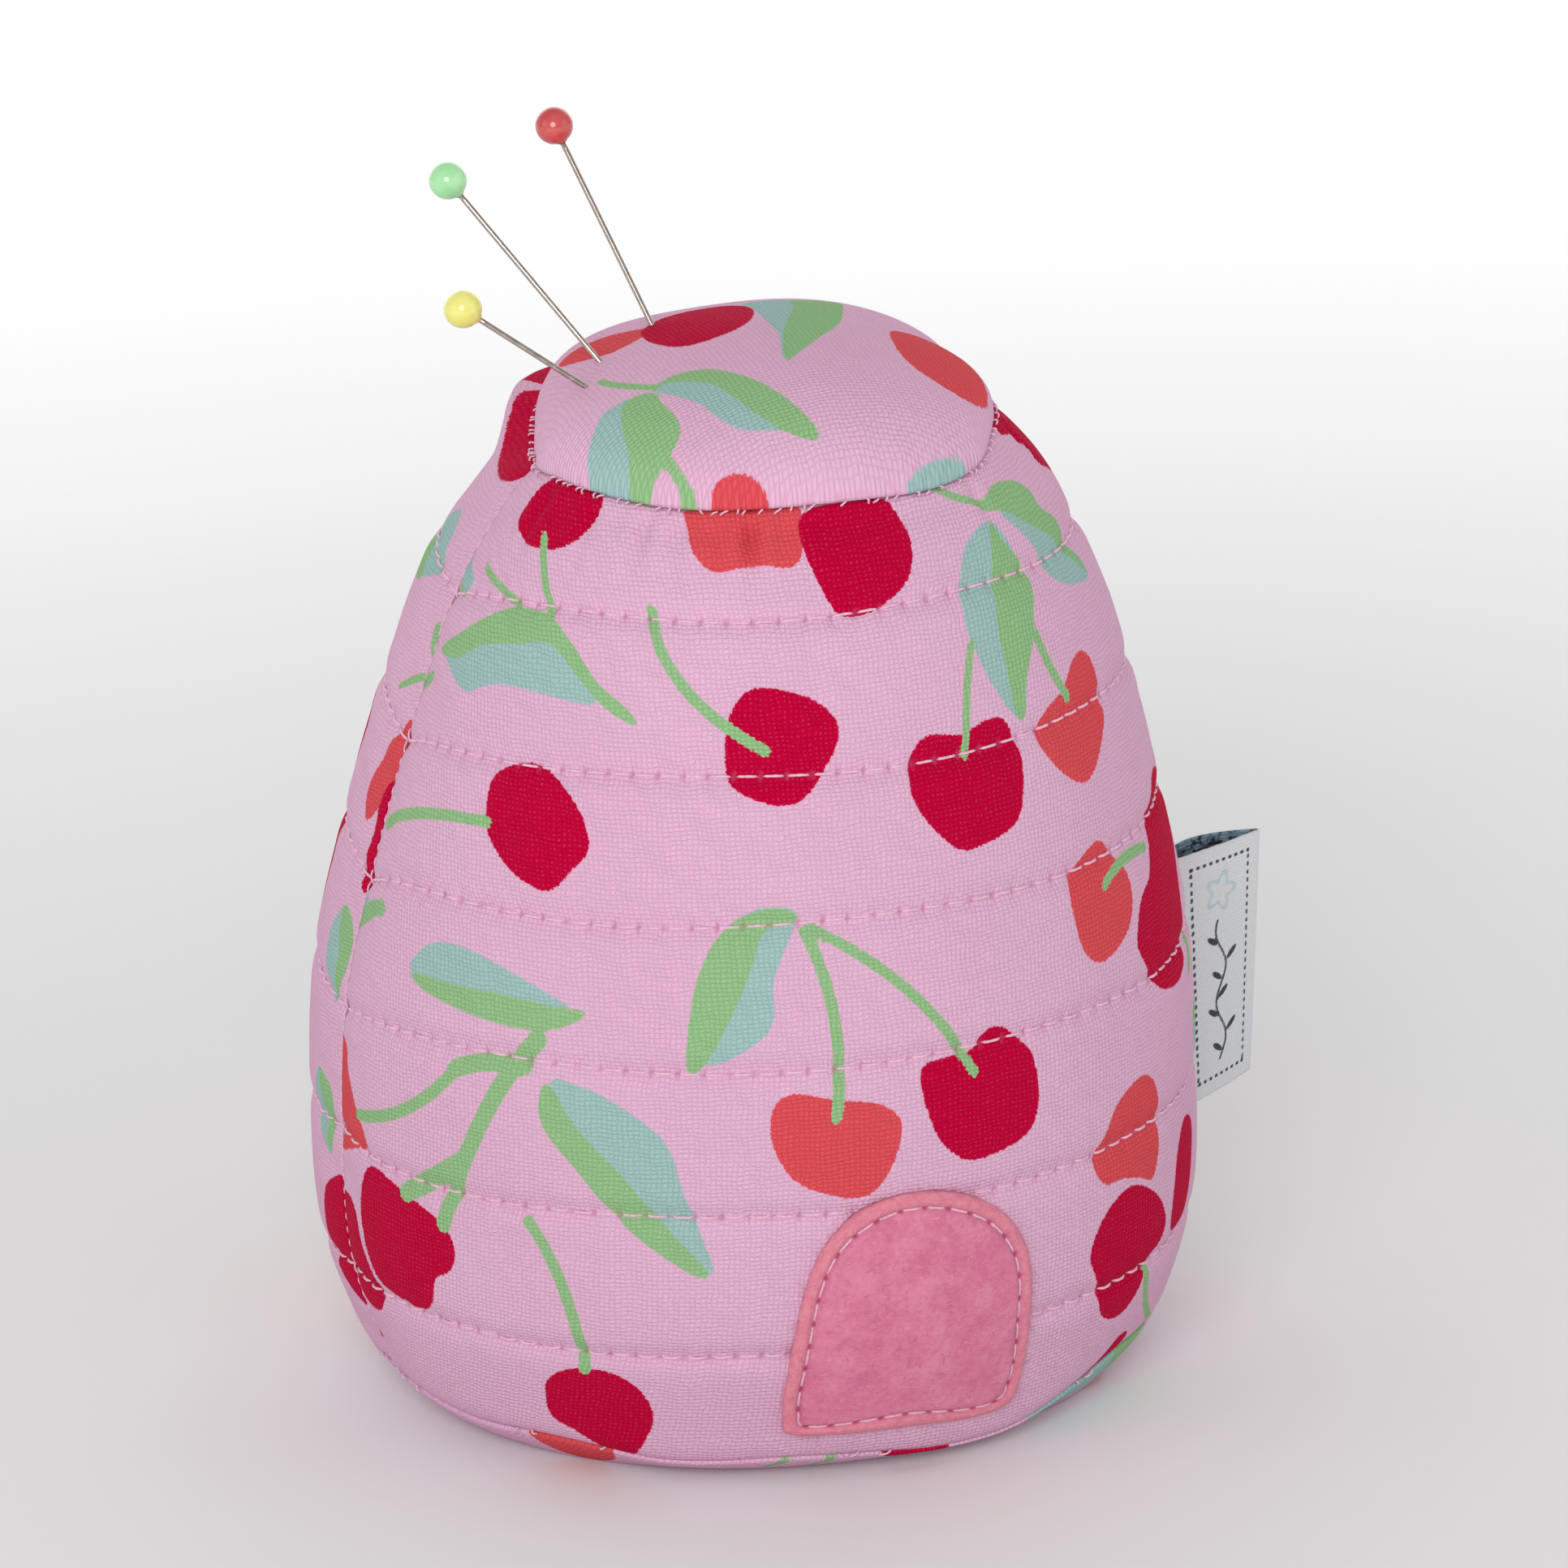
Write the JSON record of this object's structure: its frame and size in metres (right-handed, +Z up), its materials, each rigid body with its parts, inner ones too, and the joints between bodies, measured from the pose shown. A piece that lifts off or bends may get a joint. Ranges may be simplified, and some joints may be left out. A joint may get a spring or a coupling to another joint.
{
  "type": "pin cushion",
  "caption": "Beehive-shaped stuffed pin cushion in quilted cherry-print cotton, with a felt door, a side label and ball-headed pins in its domed top.",
  "frame": {"origin": "centre of the flat resting face, on the surface it stands on", "axes": "+Z up, the felt door faces -Y, the side label is on the +X seam"},
  "size_m": [0.1096, 0.0989, 0.1341],
  "materials": {
    "print_cotton": "canvas-weave cotton, pink with a cherry print",
    "wadding": "fluffy needled wadding",
    "fibre_stuffing": "loose polyester fibre, firmly packed",
    "felt": "fuzzy pink felt",
    "thread": "twisted pink sewing thread",
    "woven_tape": "fine woven tape, pale grey outside and grey-teal inside",
    "pin_steel": "bright polished pin wire",
    "red_bead": "glossy moulded bead",
    "green_bead": "glossy moulded bead",
    "yellow_bead": "glossy moulded bead"
  },
  "bodies": {
    "cushion": {"front_panel": "print_cotton", "back_panel": "print_cotton", "top_panel": "print_cotton", "base_panel": "print_cotton", "front_wadding": "wadding", "back_wadding": "wadding", "stuffing": "fibre_stuffing", "door_patch": "felt", "door_stitching": "thread", "left_seam_thread": "thread", "right_seam_thread": "thread", "top_seam_thread": "thread", "base_seam_thread": "thread", "front_quilting_1": "thread", "back_quilting_1": "thread", "front_quilting_2": "thread", "back_quilting_2": "thread", "front_quilting_3": "thread", "back_quilting_3": "thread", "front_quilting_4": "thread", "back_quilting_4": "thread", "front_quilting_5": "thread", "back_quilting_5": "thread", "front_quilting_6": "thread", "back_quilting_6": "thread"},
    "side_label": {"side_label": "woven_tape"},
    "red_pin": {"red_pin_shaft": "pin_steel", "red_pin_head": "red_bead"},
    "green_pin": {"green_pin_shaft": "pin_steel", "green_pin_head": "green_bead"},
    "yellow_pin": {"yellow_pin_shaft": "pin_steel", "yellow_pin_head": "yellow_bead"}
  },
  "joints": [
    {"name": "red_pin_slide", "type": "slide", "parent": "cushion", "child": "red_pin", "axis": [-0.2425, 0.5059, 0.8278], "range_m": [-0.0207, 0.013]},
    {"name": "green_pin_slide", "type": "slide", "parent": "cushion", "child": "green_pin", "axis": [-0.4796, 0.4714, 0.7401], "range_m": [-0.021, 0.013]},
    {"name": "yellow_pin_slide", "type": "slide", "parent": "cushion", "child": "yellow_pin", "axis": [-0.7693, 0.2564, 0.5852], "range_m": [-0.0117, 0.022]},
    {"name": "side_label_swing", "type": "hinge", "parent": "cushion", "child": "side_label", "pos_m": [0.04963, -0.00017, 0.019], "axis": [0.0137, -0.009, 0.9999], "range_deg": [-100, 40], "stiffness_Nm_per_rad": 0.0005}
  ]
}
